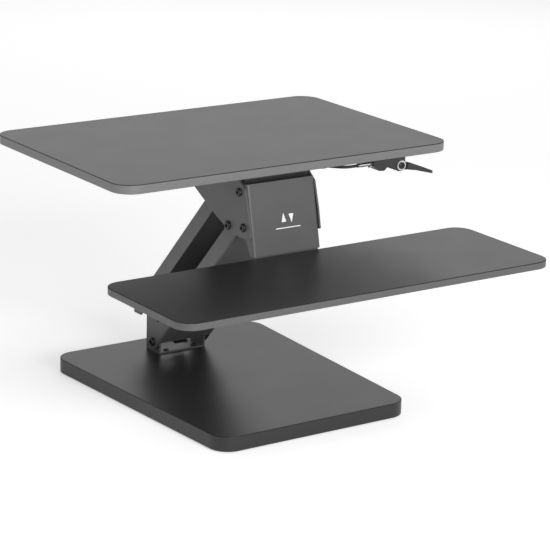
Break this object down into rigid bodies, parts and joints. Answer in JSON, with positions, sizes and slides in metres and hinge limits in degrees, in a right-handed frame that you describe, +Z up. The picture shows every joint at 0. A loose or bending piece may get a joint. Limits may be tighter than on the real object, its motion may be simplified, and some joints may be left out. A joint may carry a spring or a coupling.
{
  "type": "standing desk converter",
  "caption": "Desk-top sit-stand converter: worktop and hanging keyboard tray on a parallelogram lift with gas spring and hand lever, over a flat base.",
  "frame": {"origin": "middle of the overall footprint, on the surface that the base's pads stand on", "axes": "+X to the user's right along the boards' long side, +Y to the back, +Z up"},
  "size_m": [0.706, 0.654, 0.434],
  "materials": {
    "laminate": "fine-textured black melamine on fibreboard, satin",
    "edge_band": "smooth satin charcoal PVC banding",
    "bracket_paint": "charcoal powder coat, satin, on folded sheet steel",
    "black_fasteners": "black-oxide socket screws",
    "steel": "zinc-plated steel",
    "spring_chrome": "ground and plated piston rod",
    "spring_paint": "black gloss paint",
    "inserts": "turned brass",
    "bushes": "black acetal",
    "rubber": "matt black rubber",
    "plastic": "black moulded nylon, fine texture",
    "mark": "white pad print"
  },
  "bodies": {
    "base": {"base_board": "laminate", "base_edge_band": "edge_band", "foot_pads": "rubber", "base_bracket": "bracket_paint", "base_bracket_screws": "black_fasteners", "base_inserts": "inserts", "lower_front_shaft": "steel", "lower_rear_shaft": "steel", "lower_shaft_screws": "black_fasteners"},
    "front_link": {"front_link": "bracket_paint", "front_link_bushes": "bushes"},
    "rear_link": {"rear_link": "bracket_paint", "rear_link_bushes": "bushes"},
    "platform": {"top_board": "laminate", "top_edge_band": "edge_band", "top_inserts": "inserts", "upper_bracket": "bracket_paint", "upper_bracket_screws": "black_fasteners", "front_crossbar": "bracket_paint", "front_bracket": "bracket_paint", "bracket_bolts": "black_fasteners", "bracket_nuts": "black_fasteners", "keyboard_tray": "laminate", "tray_edge_band": "edge_band", "tray_inserts": "inserts", "tray_screws": "black_fasteners", "upper_front_pins": "black_fasteners", "upper_rear_pins": "black_fasteners", "pivot_spacers": "steel", "pivot_clips": "steel", "spring_top_mount": "bracket_paint", "release_bracket": "bracket_paint", "rocker_pin": "steel", "release_cable": "rubber", "release_wire": "steel", "cable_clip": "plastic", "cable_adjuster": "steel", "adjuster_nut": "steel", "lever_housing": "plastic", "lever_housing_screws": "black_fasteners", "lever_pin": "black_fasteners", "lever_washer": "steel", "lever_return_spring": "steel", "face_emblem": "mark"},
    "spring_cylinder": {"spring_tube": "spring_paint", "spring_guide": "spring_paint", "spring_lower_eye": "spring_paint"},
    "spring_rod": {"spring_rod": "spring_chrome", "spring_piston": "steel", "spring_top_eye": "spring_paint", "spring_top_pin": "steel"},
    "release_lever": {"release_lever": "plastic", "cable_nipple": "steel"},
    "release_rocker": {"release_rocker": "plastic"}
  },
  "joints": [
    {"name": "lift", "type": "hinge", "parent": "base", "child": "front_link", "pos_m": [0, 0.244, 0.049], "axis": [-1, 0, 0], "range_deg": [-45, 25]},
    {"name": "rear_link_swing", "type": "hinge", "parent": "base", "child": "rear_link", "pos_m": [0, 0.265, 0.128], "axis": [-1, 0, 0], "range_deg": [-45, 25]},
    {"name": "platform_level", "type": "hinge", "parent": "front_link", "child": "platform", "pos_m": [0, -0.009, 0.321], "axis": [-1, 0, 0], "range_deg": [-25, 45]},
    {"name": "spring_swing", "type": "hinge", "parent": "base", "child": "spring_cylinder", "pos_m": [0, 0.244, 0.049], "axis": [-1, 0, 0], "range_deg": [-41.4, 23.1]},
    {"name": "spring_stroke", "type": "slide", "parent": "spring_cylinder", "child": "spring_rod", "axis": [0, -0.5681, 0.823], "range_m": [-0.0458, 0.0256]},
    {"name": "lever_pull", "type": "hinge", "parent": "platform", "child": "release_lever", "pos_m": [0.219, -0.078, 0.404], "axis": [0, -1, 0], "range_deg": [0, 20], "stiffness_Nm_per_rad": 0.3},
    {"name": "rocker_swing", "type": "hinge", "parent": "platform", "child": "release_rocker", "pos_m": [0, -0.026, 0.398], "axis": [0, 1, 0], "range_deg": [0, 16]}
  ],
  "couplings": [
    {"joint": "rear_link_swing", "follows": "lift", "ratio": 1},
    {"joint": "platform_level", "follows": "lift", "ratio": -1},
    {"joint": "spring_swing", "follows": "lift", "ratio": 0.915},
    {"joint": "spring_stroke", "follows": "lift", "m_per_rad": 0.058},
    {"joint": "rocker_swing", "follows": "lever_pull", "ratio": 0.8}
  ]
}
